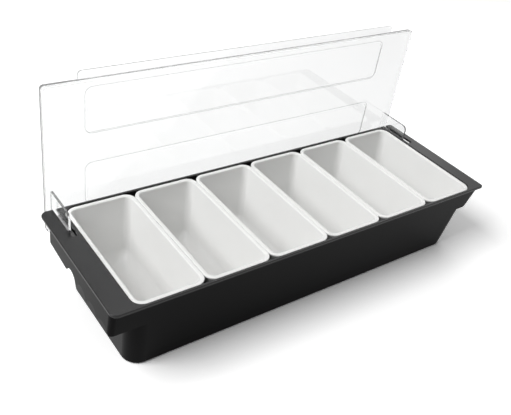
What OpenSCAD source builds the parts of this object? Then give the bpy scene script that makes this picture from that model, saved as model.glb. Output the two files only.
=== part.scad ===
// Condiment caddy: a long drafted tub with a flat deck, a row of lift-out
// inserts that hang by their rims, and a clear lid that swings on two pins.
// Millimetres, +Z up. The origin is the middle of the insert row, on the
// surface that the tub stands on. +X is the end with the narrow lip and +Y
// is the side that the lid is hinged on. The lid is drawn open.

/* [Inserts] */
// Number of inserts in the row
insert_count = 6; // [2:1:8]
// Length of an insert's rim along the row
insert_l = 75.8; // [60:0.2:110]
// Width of an insert's rim across the row
insert_w = 158; // [120:1:220]
// Height of an insert over all
insert_h = 79.2; // [60:0.2:110]
// Gap between the rims of neighbouring inserts
rim_gap = 0.4; // [0.3:0.1:2]
// Thickness of the rim
rim_t = 2.2; // [1.5:0.1:3.5]
// Corner radius of the rim in plan
rim_r = 11.5; // [8:0.5:16]
// How far the rim stands out past the insert's body
rim_overhang = 2.6; // [2:0.1:3.4]
// Wall thickness of an insert
insert_wall = 1.8; // [1.2:0.1:3]
// Radius between an insert's walls and its floor, inside
insert_floor_r = 15; // [6:1:20]
// Draft of the insert's long walls
insert_draft = 4; // [1:0.5:6]

/* [Tub] */
// Wall thickness of the tub at its ends
tub_wall = 2.6; // [2:0.1:4]
// Floor thickness of the tub
tub_floor = 3; // [2:0.1:5]
// Draft of the tub's front and back walls, shared by the inserts
side_draft = 7.3; // [2:0.1:9]
// Draft of the tub's end walls
end_draft = 3.8; // [1:0.1:5]
// Vertical corner radius of the tub's outside
tub_r = 17; // [15.5:0.5:24]
// Radius round the tub's bottom edge
tub_edge_r = 2.5; // [2:0.5:8]
// Air space under the inserts
floor_gap = 9; // [4:0.5:25]
// Clearance between the tub's inside and the inserts' long walls
tub_clear = 0.6; // [0.4:0.1:1.5]

/* [Deck] */
// Thickness of the deck
deck_t = 3; // [2.5:0.1:4]
// Clearance round the row of rims in the deck's opening
row_clear = 0.5; // [0.3:0.1:2]
// Width of the deck in front of and behind the inserts
deck_side = 3.1; // [2.6:0.1:6]
// Width of the deck beyond the row at the left end
deck_left = 23.6; // [20:0.2:40]
// Width of the deck beyond the row at the right end
deck_right = 18.6; // [17:0.2:40]
// How far the deck's front and back edges stand out past the tub's walls
deck_lip = 2.5; // [1.6:0.1:3]
// Chamfer under the deck's lip
lip_chamfer = 1; // [0.6:0.1:1.4]
// Radius of the deck's two left corners
deck_left_r = 7.5; // [3:0.5:8]
// Radius of the deck's two right corners
deck_right_r = 4; // [3:0.5:8]
// Width of the ledges that carry the rims at the two ends of the row
end_ledge = 2; // [1:0.1:2.2]
// Length of the end ledges
end_ledge_l = 110; // [60:1:120]

/* [Skirts] */
// Thickness of the skirts
skirt_t = 2.5; // [2:0.1:4]
// Depth of the left skirt below the deck's top at the front
skirt_front_h = 30; // [20:1:45]
// Depth of the left skirt below the deck's top at the back
skirt_rear_h = 18; // [14:1:40]
// Distance from the deck's back edge to the left skirt's back end
skirt_stop = 27.5; // [24:0.5:60]
// Number of finger scallops in the left skirt's lower edge
scallop_count = 4; // [2:1:4]
// Width of a scallop
scallop_w = 20.5; // [14:0.5:22]
// Height of a scallop
scallop_h = 7.5; // [3:0.5:9]
// Straight edge between two scallops
scallop_land = 2.5; // [1:0.5:6]
// Distance from the left skirt's back end to the first scallop
scallop_start = 39; // [20:1:45]
// How far the right skirt is set in from the deck's right edge
wing_inset = 6.5; // [4:0.5:8]
// How far the right skirt leans in towards its bottom
wing_lean = 7.5; // [3:0.5:8]
// Depth of the right skirt below the deck's top
wing_h = 31; // [20:1:45]
// Radius of the right skirt's lower corner
wing_r = 3.5; // [1:0.5:6]
// Distance from the deck's back edge to the right skirt's back end
wing_stop = 57.5; // [50:0.5:100]

/* [Lid] */
// Thickness of the lid's plate
lid_t = 2.2; // [1.5:0.1:3]
// Depth of the lid's rim below its plate
lid_rim_h = 4.3; // [4:0.1:8]
// Thickness of the lid's rim
lid_rim_t = 2.2; // [1.5:0.1:3]
// Corner radius of the lid
lid_r = 4; // [3:0.5:8]
// How far each end of the lid reaches past the row of rims
lid_side = 15.1; // [14:0.1:16]
// Distance of the closed lid's front edge behind the deck's front edge
lid_setback = 2.1; // [0:0.1:4]
// How far the closed lid reaches past the deck's back edge
lid_overhang = 3.1; // [2.9:0.1:6]
// Gap between the deck and the closed lid's rim
lid_seat = 0.3; // [0.2:0.1:1]
// Gap between the deck's back edge and the open lid's plate
lid_back_gap = 8.3; // [7.5:0.1:12]
// Clearance between the deck's back edge and the swinging lid
swing_clear = 0.3; // [0.2:0.05:1]
// Height of the lid's raised panels
panel_h = 1.2; // [0.5:0.1:2]
// Height of a raised panel along the open lid
panel_w = 51; // [30:1:60]
// Distance between the lid's ends and the ends of its panels
panel_end = 44.5; // [20:0.5:80]
// Distance from the lid's front edge to the first panel
panel_front = 10; // [5:0.5:20]
// Distance between the two panels
panel_gap = 34; // [10:1:40]
// Corner radius of the panels
panel_r = 8; // [4:0.5:12]
// Reach of the finger tab past the lid's front edge
tab_reach = 9; // [5:0.5:20]
// Distance between the lid's ends and the ends of the tab
tab_end = 36.5; // [20:0.5:150]
// Thickness of the finger tab
tab_t = 1.5; // [1:0.1:2]
// Thickness of the stop flange along the lid's back edge
stop_t = 2.4; // [1.5:0.1:2.5]
// Distance from each end of the lid to the stop flange
stop_end = 24; // [22:0.5:60]
// Gap between the stop flange and the tub with the lid open
stop_gap = 0.3; // [0.2:0.1:1]

/* [Hinge] */
// Thickness of an ear
ear_t = 2.6; // [2:0.1:3.5]
// Distance from the row of rims to the middle of an ear
ear_place = 7.1; // [6.8:0.1:8]
// How far the ears stand out from the open lid's plate
ear_reach = 43.8; // [38:0.1:46]
// Height of the ears' upper edge above the deck with the lid open
ear_rise = 16; // [10:0.5:18]
// Height of an ear's front edge
ear_front_h = 24; // [18:0.5:26]
// Radius of the ears' free corner
ear_r = 6; // [3:0.5:8]
// Radius of the ear round its pin
ear_eye_r = 8; // [6.5:0.1:9]
// Width of the slots in the deck that the ears swing in
slot_w = 6; // [5:0.1:7]
// Room in front of the swinging ear in its slot
slot_room = 1.8; // [0.5:0.1:4]
// Radius of the hinge pin's shank
pin_r = 3; // [2:0.1:3.5]
// Radius of the hinge pin's head
pin_head_r = 5.2; // [4.2:0.1:6]
// Thickness of the hinge pin's head
pin_head_t = 2; // [1:0.1:3]
// Running clearance, radial, of the ear on its pin
pin_clear = 0.05; // [0.02:0.01:0.1]
// Clearance, radial, of the pin in the tub
pin_seat = 0.02; // [0.01:0.01:0.05]
// Radius of the boss that holds the pin
boss_r = 5.6; // [5:0.1:6]
// Side play between an ear and its boss or pin head
ear_play = 0.3; // [0.2:0.1:0.6]

/* [Hidden] */

BLACK = [0.09, 0.09, 0.1];
WHITE = [0.94, 0.94, 0.93];
CLEAR = [0.85, 0.88, 0.9, 0.4];
DARK = [0.05, 0.05, 0.05];

// Facets of hull corners, of exact arcs, and steps of a rounded edge
CORNER_FN = 32;
ROUND_FN = 96;
EDGE_STEPS = 5;
// Height of the thin slices that a drafted block is hulled from
SLICE = 0.02;
// Overlap that joins two shapes of one piece
JOIN = 1;

// Levels
seat_z = tub_floor + floor_gap + insert_h - rim_t;
deck_z = seat_z + deck_t;
insert_z = tub_floor + floor_gap;

// Plan of the row and of the deck
pitch = insert_l + rim_gap;
row_half = (insert_count * pitch - rim_gap) / 2;
opening_x = row_half + row_clear;
opening_y = insert_w / 2 + row_clear;
opening_r = rim_r + row_clear;
deck_x0 = -opening_x - deck_left;
deck_x1 = opening_x + deck_right;
deck_y = opening_y + deck_side;

// Insert body just under the rim
body_x = insert_l / 2 - rim_overhang;
body_y = insert_w / 2 - rim_overhang;
body_r = rim_r - rim_overhang;

// Tub just under the deck
tub_y = deck_y - deck_lip;
well_y = body_y + tub_clear;
well_r = opening_r;
ledge_x = row_half - rim_overhang + tub_clear;
well_x = ledge_x + end_ledge + 1.5;
tub_x = well_x + tub_wall;

// Half sizes of the tub's outside at a height
function tub_y_at(z) = tub_y - (seat_z - z) * tan(side_draft);
function tub_x_at(z) = tub_x - (seat_z - z) * tan(end_draft);

// Lid closed: height of its plate above the deck, and where its pin must be so
// that the deck's back edge just clears the plate all the way round
lid_gap = lid_rim_h + lid_seat;
spare = lid_gap - swing_clear;
pivot_in = spare + sqrt(
    pow(spare, 2) + pow(lid_back_gap - swing_clear, 2) - pow(lid_back_gap - lid_gap, 2)
);
plate_y = deck_y + lid_back_gap;
pivot_y = deck_y - pivot_in;
arm = plate_y - pivot_y;
pivot_z = deck_z + lid_gap - arm;
lid_top = pivot_y + pivot_z + deck_y - lid_setback;
lid_bottom = pivot_y + pivot_z - deck_y - lid_overhang;
lid_x = row_half + lid_side;
edge_reach = sqrt(pow(pivot_in, 2) + pow(deck_z - pivot_z, 2));
swing_r = edge_reach + swing_clear - 0.05;

// Ears, slots and pins
ear_x = row_half + ear_place;
ear_in = ear_x - ear_t / 2;
ear_out = ear_x + ear_t / 2;
ear_y = plate_y - ear_reach;
ear_z = deck_z + ear_rise;
ear_corner = [ear_y + ear_r - pivot_y, ear_z - ear_r - pivot_z];
ear_swing = norm(ear_corner) + ear_r;
slot_y = pivot_y - sqrt(pow(ear_swing, 2) - pow(seat_z - pivot_z, 2)) - slot_room;
boss_out = ear_in - ear_play;
pin_tip = ledge_x + 0.4;

// Rectangle with round corners, made of exact straight and round edges
module round_rect(l, w, r) {
    square([l - 2 * r, w], center = true);
    square([l, w - 2 * r], center = true);
    for (sx = [-1, 1], sy = [-1, 1])
        translate([sx * (l / 2 - r), sy * (w / 2 - r)]) circle(r);
}

// Block with drafted walls, round corners and a round bottom edge. x and y are
// its half sizes at the top, and spread adds to the corner radius at the bottom
module drafted_block(x, y, r, z0, z1, draft_x, draft_y, edge_r, spread) {
    hull() {
        translate([0, 0, z1 - SLICE])
            linear_extrude(SLICE) round_rect(2 * x, 2 * y, r, $fn = CORNER_FN);
        for (i = [0:EDGE_STEPS]) {
            a = 90 * i / EDGE_STEPS;
            z = z0 + edge_r * (1 - cos(a));
            inset = edge_r * (1 - sin(a));
            sx = x - (z1 - z) * tan(draft_x) - inset;
            sy = y - (z1 - z) * tan(draft_y) - inset;
            translate([0, 0, z])
                linear_extrude(SLICE)
                    round_rect(2 * sx, 2 * sy, r + spread * cos(a), $fn = CORNER_FN);
        }
    }
}

// Prism along X from an outline of [y, z] points
module prism_x(x0, x1, outline) {
    translate([x0, 0, 0])
        rotate([90, 0, 90]) linear_extrude(x1 - x0) polygon(outline);
}

// Prism along Y from an outline of [x, z] points
module prism_y(y0, y1, outline) {
    translate([0, y1, 0])
        rotate([90, 0, 0]) linear_extrude(y1 - y0) polygon(outline);
}

module insert(i) {
    place = (i - (insert_count + 1) / 2) * pitch;
    color(WHITE) translate([place, 0, 0]) difference() {
        union() {
            translate([0, 0, seat_z])
                linear_extrude(rim_t) round_rect(insert_l, insert_w, rim_r, $fn = ROUND_FN);
            drafted_block(
                body_x, body_y, body_r, insert_z, seat_z + JOIN,
                insert_draft, side_draft, insert_floor_r + insert_wall, 6
            );
        }
        drafted_block(
            body_x - insert_wall, body_y - insert_wall, body_r - insert_wall,
            insert_z + insert_wall, seat_z + rim_t + SLICE,
            insert_draft, side_draft, insert_floor_r, 6
        );
    }
}

// Outline of the deck in plan, its left corners rounder than its right ones
module deck_outline() {
    reach = (deck_x1 - deck_x0) * 0.6;
    translate([deck_x0 + reach / 2, 0])
        round_rect(reach, 2 * deck_y, deck_left_r, $fn = ROUND_FN);
    translate([deck_x1 - reach / 2, 0])
        round_rect(reach, 2 * deck_y, deck_right_r, $fn = ROUND_FN);
}

// Deck with its opening for the rims and its two hinge slots
module deck() {
    difference() {
        translate([0, 0, seat_z]) linear_extrude(deck_t) deck_outline();
        translate([0, 0, seat_z - JOIN])
            linear_extrude(deck_t + 2 * JOIN)
                round_rect(2 * opening_x, 2 * opening_y, opening_r, $fn = ROUND_FN);
        for (side = [-1, 1])
            translate([side * ear_x - slot_w / 2, slot_y, seat_z - JOIN])
                cube([slot_w, deck_y - slot_y + JOIN, deck_t + 2 * JOIN]);
    }
}

// Outside of the tub with the small chamfer under the deck's lip
module tub_outside() {
    drafted_block(
        tub_x, tub_y, tub_r, 0, seat_z, end_draft, side_draft, tub_edge_r, 0
    );
    hull() {
        translate([0, 0, seat_z - lip_chamfer])
            linear_extrude(SLICE)
                round_rect(2 * tub_x, 2 * tub_y, tub_r, $fn = CORNER_FN);
        translate([0, 0, seat_z - SLICE])
            linear_extrude(SLICE)
                round_rect(
                    2 * (tub_x + lip_chamfer), 2 * (tub_y + lip_chamfer),
                    tub_r + lip_chamfer, $fn = CORNER_FN
                );
    }
}

// Ledges that carry the rims at the two ends of the row
module end_ledges() {
    for (side = [-1, 1])
        translate([side * (ledge_x + well_x + JOIN) / 2, 0, seat_z - deck_t / 2])
            cube([well_x + JOIN - ledge_x, end_ledge_l, deck_t], center = true);
}

// Bosses for the hinge pins, each hung from the deck by a block
module pin_bosses() {
    for (side = [0, 1]) mirror([side, 0, 0]) {
        translate([ledge_x, pivot_y, pivot_z])
            rotate([0, 90, 0]) cylinder(r = boss_r, h = boss_out - ledge_x, $fn = ROUND_FN);
        translate([ledge_x, pivot_y - boss_r, pivot_z])
            cube([boss_out - ledge_x, 2 * boss_r, seat_z - pivot_z]);
    }
}

// Sheet in the plane of the tub's front wall, down to a depth below the deck
module front_sheet(x0, x1, depth) {
    low = deck_z - depth;
    prism_x(x0, x1, [
        [-tub_y, seat_z],
        [-tub_y_at(low), low],
        [-tub_y_at(low) + skirt_t, low],
        [-tub_y + skirt_t, seat_z]
    ]);
}

// Left skirt, flush with the deck's end, with its front sheet and finger scallops
module left_skirt() {
    front_low = deck_z - skirt_front_h;
    rear_low = deck_z - skirt_rear_h;
    rear_y = deck_y - skirt_stop;
    front_y = -tub_y_at(front_low);
    rise = (rear_low - front_low) / (rear_y - front_y);
    scallop_r = (pow(scallop_w / 2, 2) + pow(scallop_h, 2)) / (2 * scallop_h);
    intersection() {
        union() {
            front_sheet(deck_x0, JOIN + tub_r - tub_x, skirt_front_h);
            difference() {
                prism_x(deck_x0, deck_x0 + skirt_t, [
                    [-tub_y, seat_z],
                    [front_y, front_low],
                    [rear_y, rear_low],
                    [rear_y, seat_z]
                ]);
                for (i = [0:scallop_count - 1]) {
                    y = rear_y - scallop_start - scallop_w / 2
                        - i * (scallop_w + scallop_land);
                    z = front_low + (y - front_y) * rise + scallop_h - scallop_r;
                    translate([deck_x0 - JOIN, y, z])
                        rotate([0, 90, 0])
                            cylinder(r = scallop_r, h = skirt_t + 2 * JOIN, $fn = ROUND_FN);
                }
            }
        }
        linear_extrude(deck_z) deck_outline();
    }
}

// Right skirt, set in from the deck's end and leaning in, with its front sheet
module right_skirt() {
    low = deck_z - wing_h;
    x_top = deck_x1 - wing_inset;
    x_low = x_top - wing_lean;
    lean = atan(wing_lean / (wing_h - deck_t));
    rear_y = deck_y - wing_stop;
    turn_x = x_low - wing_r * tan(45 - lean / 2);
    module end_outline(t) {
        polygon([
            [x_top - t, seat_z],
            [x_top, seat_z],
            [x_low + wing_r * sin(lean), low + wing_r * cos(lean)],
            [turn_x, low],
            [turn_x - t, low],
            [x_low + (wing_r + t) * sin(lean) - t, low + (wing_r + t) * cos(lean)]
        ]);
    }
    translate([0, rear_y, 0])
        rotate([90, 0, 0]) linear_extrude(rear_y + tub_y_at(low)) end_outline(skirt_t);
    intersection() {
        front_sheet(tub_x - tub_r - JOIN, x_top, wing_h);
        prism_y(-deck_y, 0, [
            [0, seat_z],
            [x_top, seat_z],
            [x_low + wing_r * sin(lean), low + wing_r * cos(lean)],
            [turn_x, low],
            [0, low]
        ]);
    }
}

module tub() {
    color(BLACK) difference() {
        union() {
            difference() {
                tub_outside();
                drafted_block(
                    well_x, well_y, well_r, tub_floor, seat_z + JOIN,
                    end_draft, side_draft, tub_edge_r, 0
                );
            }
            deck();
            end_ledges();
            pin_bosses();
            left_skirt();
            right_skirt();
        }
        for (side = [-1, 1])
            translate([side * (ledge_x + boss_out) / 2, pivot_y, pivot_z])
                rotate([0, 90, 0])
                    cylinder(
                        r = pin_r + pin_seat, h = boss_out - ledge_x + 2 * JOIN,
                        center = true, $fn = ROUND_FN
                    );
    }
}

// Flat outline of the lid in its own plane, x along the row and y up
module lid_outline(inset) {
    translate([0, (lid_top + lid_bottom) / 2])
        round_rect(
            2 * (lid_x - inset), lid_top - lid_bottom - 2 * inset, lid_r - inset / 2,
            $fn = ROUND_FN
        );
}

// Outlines of the two raised panels, drawn in by inset
module panel_outlines(inset) {
    for (i = [0:1])
        translate([0, lid_top - panel_front - panel_w / 2 - i * (panel_w + panel_gap)])
            round_rect(
                2 * (lid_x - panel_end - inset), panel_w - 2 * inset, panel_r - inset / 2,
                $fn = ROUND_FN
            );
}

// Stands a flat outline up with its face at y0 and its thickness towards +Y
module upright(y0, t) {
    translate([0, y0 + t, 0]) rotate([90, 0, 0]) linear_extrude(t) children();
}

// Ear with its eye round the pin, as an outline of y and z
module ear_outline() {
    difference() {
        union() {
            translate([ear_y, ear_z - ear_front_h])
                square([plate_y + JOIN - ear_y, ear_front_h - ear_r]);
            translate([ear_y + ear_r, ear_z - ear_front_h])
                square([plate_y + JOIN - ear_y - ear_r, ear_front_h]);
            translate([ear_y + ear_r, ear_z - ear_r]) circle(ear_r, $fn = ROUND_FN);
            polygon([
                [ear_y, ear_z - ear_front_h],
                [pivot_y - ear_eye_r * cos(40), pivot_z - ear_eye_r * sin(40)],
                [pivot_y + ear_eye_r * cos(60), pivot_z - ear_eye_r * sin(60)],
                [plate_y + JOIN, lid_bottom + lid_r],
                [plate_y + JOIN, ear_z - ear_r]
            ]);
            translate([pivot_y, pivot_z]) circle(ear_eye_r, $fn = ROUND_FN);
        }
        translate([pivot_y, pivot_z]) circle(pin_r + pin_clear, $fn = ROUND_FN);
    }
}

module lid() {
    rim_y = plate_y - lid_rim_h;
    stop_y = tub_y_at(lid_bottom + stop_t) + stop_gap;
    color(CLEAR) {
        difference() {
            union() {
                upright(rim_y, lid_rim_h + lid_t) lid_outline(0);
                upright(plate_y + lid_t - JOIN, panel_h + JOIN) panel_outlines(0);
            }
            upright(rim_y - JOIN, lid_rim_h + JOIN) lid_outline(lid_rim_t);
            upright(plate_y - JOIN, panel_h + JOIN) panel_outlines(lid_t);
            translate([0, pivot_y, pivot_z])
                rotate([0, 90, 0])
                    cylinder(r = swing_r, h = 2 * lid_x + 2 * JOIN, center = true, $fn = 180);
        }
        upright(plate_y, tab_t)
            translate([0, lid_top])
                round_rect(2 * (lid_x - tab_end), 2 * tab_reach, tab_reach / 2, $fn = ROUND_FN);
        translate([-lid_x + stop_end, stop_y, lid_bottom])
            cube([2 * (lid_x - stop_end), plate_y + JOIN - stop_y, stop_t]);
        for (side = [-1, 1])
            translate([side * ear_x - ear_t / 2, 0, 0])
                rotate([90, 0, 90]) linear_extrude(ear_t) ear_outline();
    }
}

// Headed pin on the +X side; the other one is its mirror image
module hinge_pin() {
    color(DARK) translate([0, pivot_y, pivot_z]) rotate([0, 90, 0]) {
        translate([0, 0, pin_tip])
            cylinder(r = pin_r, h = ear_out + ear_play - pin_tip + JOIN, $fn = ROUND_FN);
        translate([0, 0, ear_out + ear_play])
            cylinder(r = pin_head_r, h = pin_head_t, $fn = ROUND_FN);
    }
}

module hinge_pin_right() {
    hinge_pin();
}

module hinge_pin_left() {
    mirror([1, 0, 0]) hinge_pin();
}

tub();
for (i = [1:insert_count])
    insert(i);
lid();
hinge_pin_left();
hinge_pin_right();
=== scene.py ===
"""Looks of the condiment caddy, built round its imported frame.

The tub, the six lift-out inserts, the clear lid and the two hinge pins are each
modelled again with rounded edges and dressed in moulded plastics. Each new piece
stands for its plain solid in the frame and rides on the same body.
"""

import logging
import math
from collections.abc import Callable, Iterable
from dataclasses import dataclass, field
from enum import Enum

import bmesh
import bpy
from mathutils import Matrix, Vector


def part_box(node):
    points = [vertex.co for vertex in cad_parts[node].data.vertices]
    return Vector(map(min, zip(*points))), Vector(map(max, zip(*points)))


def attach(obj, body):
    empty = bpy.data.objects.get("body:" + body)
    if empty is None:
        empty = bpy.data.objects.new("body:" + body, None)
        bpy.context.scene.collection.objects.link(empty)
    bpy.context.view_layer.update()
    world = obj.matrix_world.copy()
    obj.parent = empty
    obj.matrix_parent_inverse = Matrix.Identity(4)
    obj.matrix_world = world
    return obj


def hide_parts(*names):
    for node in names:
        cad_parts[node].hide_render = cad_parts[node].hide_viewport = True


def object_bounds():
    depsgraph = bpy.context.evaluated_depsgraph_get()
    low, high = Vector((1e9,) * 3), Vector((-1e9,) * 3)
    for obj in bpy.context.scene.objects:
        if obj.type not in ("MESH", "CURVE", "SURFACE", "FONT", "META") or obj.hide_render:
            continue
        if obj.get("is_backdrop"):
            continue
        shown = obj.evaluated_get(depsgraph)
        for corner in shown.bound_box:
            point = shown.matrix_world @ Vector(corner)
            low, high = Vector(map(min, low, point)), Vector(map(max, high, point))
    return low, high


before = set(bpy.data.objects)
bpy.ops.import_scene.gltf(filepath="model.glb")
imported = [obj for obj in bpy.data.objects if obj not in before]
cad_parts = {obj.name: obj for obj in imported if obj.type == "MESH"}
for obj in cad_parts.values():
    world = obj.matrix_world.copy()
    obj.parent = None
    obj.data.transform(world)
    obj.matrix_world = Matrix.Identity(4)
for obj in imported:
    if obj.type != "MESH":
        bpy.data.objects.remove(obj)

log = logging.getLogger("caddy")

MM = 0.001
PHOTO_WIDTH_PX = 511
SENSOR_MM = 36.0
PIVOT_YZ = (70.005, 75.705)


class Slot(Enum):
    """Material slots of the record; the pieces here don't use them."""

    TUB = "tub_black"
    INSERT = "insert_white"
    LID = "lid_clear"
    PIN = "pin_black"


def draft(degrees: float) -> float:
    """Sideways run of a drafted wall for each unit of height."""
    return math.tan(math.radians(degrees))


# ---------------------------------------------------------------------------
# Sections and solids
# ---------------------------------------------------------------------------


@dataclass(frozen=True)
class Section:
    """A rounded rectangle at one level, in millimetres."""

    half_x: float
    half_y: float
    corner: float
    level: float
    centre_x: float = 0.0
    centre_y: float = 0.0
    left_corner: float | None = None

    def radius(self, side: float) -> float:
        """Corner radius on the left, for a side under nought, or on the right."""
        if side < 0 and self.left_corner is not None:
            return self.left_corner
        return self.corner


@dataclass(frozen=True)
class DraftedForm:
    """A block with round corners whose walls lean in towards its bottom."""

    half_x: float
    half_y: float
    corner: float
    top: float
    draft_x: float
    draft_y: float
    centre_x: float = 0.0
    centre_y: float = 0.0
    left_corner: float | None = None

    def at(self, level: float, inset: float = 0.0, spread: float = 0.0) -> Section:
        """Section of the form at a level.

        Args:
            level: Height of the section.
            inset: How far it is drawn in from the drafted walls.
            spread: What is added to the corner radius.

        Returns:
            The section, with its corner radius never under half a millimetre.
        """
        drop = self.top - level
        change = spread - (inset if inset < 3 else 0)
        left = self.left_corner
        return Section(
            self.half_x - drop * draft(self.draft_x) - inset,
            self.half_y - drop * draft(self.draft_y) - inset,
            max(self.corner + change, 0.5),
            level,
            self.centre_x,
            self.centre_y,
            None if left is None else max(left + change, 0.5),
        )

    def floor(self, bottom: float, radius: float, spread: float, steps: int) -> list[Section]:
        """Sections that turn from the walls into the floor.

        Args:
            bottom: Level of the floor.
            radius: Radius between the walls and the floor.
            spread: Growth of the corner radius down at the floor.
            steps: Number of steps of the turn.

        Returns:
            The sections from the wall down to the floor.
        """
        made = []
        for i in range(steps + 1):
            turn = math.radians(90 * (1 - i / steps))
            level = bottom + radius * (1 - math.cos(turn))
            wall = self.at(level)
            inset = radius * (1 - math.sin(turn))
            corner = self.corner + spread * math.cos(turn)
            made.append(
                Section(
                    wall.half_x - inset,
                    wall.half_y - inset,
                    min(corner, wall.half_x - inset - 0.5),
                    level,
                    self.centre_x,
                    self.centre_y,
                )
            )
        return made


def edge_arc(
    form: Callable[[float, float], Section],
    centre: tuple[float, float],
    radius: float,
    turn: tuple[float, float],
    steps: int = 3,
) -> list[Section]:
    """Sections round a small edge radius.

    Args:
        form: Gives the section for an inset and a level.
        centre: Inset and level of the radius's centre.
        radius: The edge radius.
        turn: First and last angle in degrees; 0 points outwards and 90 up.
        steps: Number of steps.

    Returns:
        The sections along the arc.
    """
    made = []
    for i in range(steps + 1):
        a = math.radians(turn[0] + (turn[1] - turn[0]) * i / steps)
        made.append(form(centre[0] - radius * math.cos(a), centre[1] + radius * math.sin(a)))
    return made


def ring(bm: bmesh.types.BMesh, section: Section, steps: int) -> list[bmesh.types.BMEdge]:
    """Draws one section as a closed loop of edges.

    Args:
        bm: The mesh in work.
        section: The rounded rectangle.
        steps: Segments of each corner.

    Returns:
        The loop's edges.
    """
    corners = bmesh.ops.create_grid(bm, x_segments=1, y_segments=1, size=1.0)["verts"]
    for v in corners:
        v.co = Vector(
            (
                section.centre_x + math.copysign(section.half_x, v.co.x),
                section.centre_y + math.copysign(section.half_y, v.co.y),
                section.level,
            )
        )
    for side in (-1, 1):
        bmesh.ops.bevel(
            bm,
            geom=[v for v in corners if v.is_valid and side * (v.co.x - section.centre_x) > 0],
            offset=section.radius(side),
            offset_type="OFFSET",
            segments=steps,
            profile=0.5,
            affect="VERTICES",
            material=-1,
        )
    face = next(f for f in bm.faces)
    edges = list(face.edges)
    bmesh.ops.delete(bm, geom=[face], context="FACES_ONLY")
    return edges


def placed(co: Vector, old: Section, new: Section) -> Vector:
    """Where a point of one section lies on another.

    Args:
        co: The point on the old section.
        old: The section it lies on.
        new: The section it moves to.

    Returns:
        The point at the same corner and turn of the new section.
    """
    found = []
    left_or_right = co.x - old.centre_x
    before, after = old.radius(left_or_right), new.radius(left_or_right)
    for value, centre, half, new_centre, new_half in (
        (co.x, old.centre_x, old.half_x, new.centre_x, new.half_x),
        (co.y, old.centre_y, old.half_y, new.centre_y, new.half_y),
    ):
        side = math.copysign(1.0, value - centre)
        share = (abs(value - centre) - half + before) / before
        found.append(new_centre + side * (new_half - after + share * after))
    return Vector((*found, new.level))


def loft(sections: list[Section], steps: int, closed: bool = False) -> bmesh.types.BMesh:
    """Skins a row of sections into a closed solid.

    Args:
        sections: The sections in order.
        steps: Segments of each corner.
        closed: Joins the last section to the first instead of capping both.

    Returns:
        The mesh, in millimetres, with its faces outwards.
    """
    bm = bmesh.new()
    first = ring(bm, sections[0], steps)
    edges = first
    path = [*sections, sections[0]] if closed else sections
    for old, new in zip(path, path[1:]):
        grown = bmesh.ops.extrude_edge_only(bm, edges=edges)["geom"]
        edges = [g for g in grown if isinstance(g, bmesh.types.BMEdge)]
        for v in [g for g in grown if isinstance(g, bmesh.types.BMVert)]:
            v.co = placed(v.co, old, new)
        edges = [
            e for e in edges
            if len(e.link_faces) == 1 and all(abs(v.co.z - new.level) < 1e-4 for v in e.verts)
        ]
    if closed:
        bmesh.ops.remove_doubles(bm, verts=bm.verts, dist=0.001)
    else:
        bmesh.ops.edgeloop_fill(bm, edges=first)
        bmesh.ops.edgeloop_fill(bm, edges=edges)
    turn_outwards(bm)
    return bm


def turn_outwards(bm: bmesh.types.BMesh) -> None:
    """Turns the faces of a closed solid outwards."""
    bmesh.ops.recalc_face_normals(bm, faces=bm.faces)
    if bm.calc_volume(signed=True) < 0:
        bmesh.ops.reverse_faces(bm, faces=bm.faces)


def block(low: Iterable[float], high: Iterable[float], edge: float = 0.0) -> bmesh.types.BMesh:
    """A block between two corners, in millimetres, with its edges rounded by edge."""
    bm = bmesh.new()
    lo, hi = Vector(low), Vector(high)
    made = bmesh.ops.create_cube(bm, size=1.0)["verts"]
    bmesh.ops.scale(bm, vec=hi - lo, verts=made)
    bmesh.ops.translate(bm, vec=(lo + hi) / 2, verts=made)
    if edge:
        round_edges(bm, list(bm.edges), edge)
    return bm


def round_edges(
    bm: bmesh.types.BMesh, edges: list[bmesh.types.BMEdge], radius: float, steps: int = 2
) -> None:
    """Rounds edges of a mesh in work.

    Args:
        bm: The mesh.
        edges: The edges.
        radius: The edge radius in millimetres.
        steps: Segments of the rounding.
    """
    bmesh.ops.bevel(
        bm,
        geom=edges,
        offset=radius,
        offset_type="OFFSET",
        segments=steps,
        profile=0.5,
        affect="EDGES",
        material=-1,
        clamp_overlap=True,
    )


def outline_face(
    bm: bmesh.types.BMesh, points: list[tuple[float, float]], level: float
) -> bmesh.types.BMFace:
    """One flat face at a level from a few corner points."""
    verts = [bm.verts.new((x, y, level)) for x, y in points]
    edges = [bm.edges.new(pair) for pair in zip(verts, verts[1:] + verts[:1])]
    return bmesh.ops.edgeloop_fill(bm, edges=edges)["faces"][0]


def round_corner(
    bm: bmesh.types.BMesh, near: tuple[float, float], radius: float, steps: int
) -> None:
    """Rounds the corner of a flat outline that lies nearest to a point."""
    goal = Vector(near)
    corner = min(bm.verts, key=lambda v: (v.co.xy - goal).length)
    bmesh.ops.bevel(
        bm,
        geom=[corner],
        offset=radius,
        offset_type="OFFSET",
        segments=steps,
        profile=0.5,
        affect="VERTICES",
        material=-1,
    )


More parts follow.
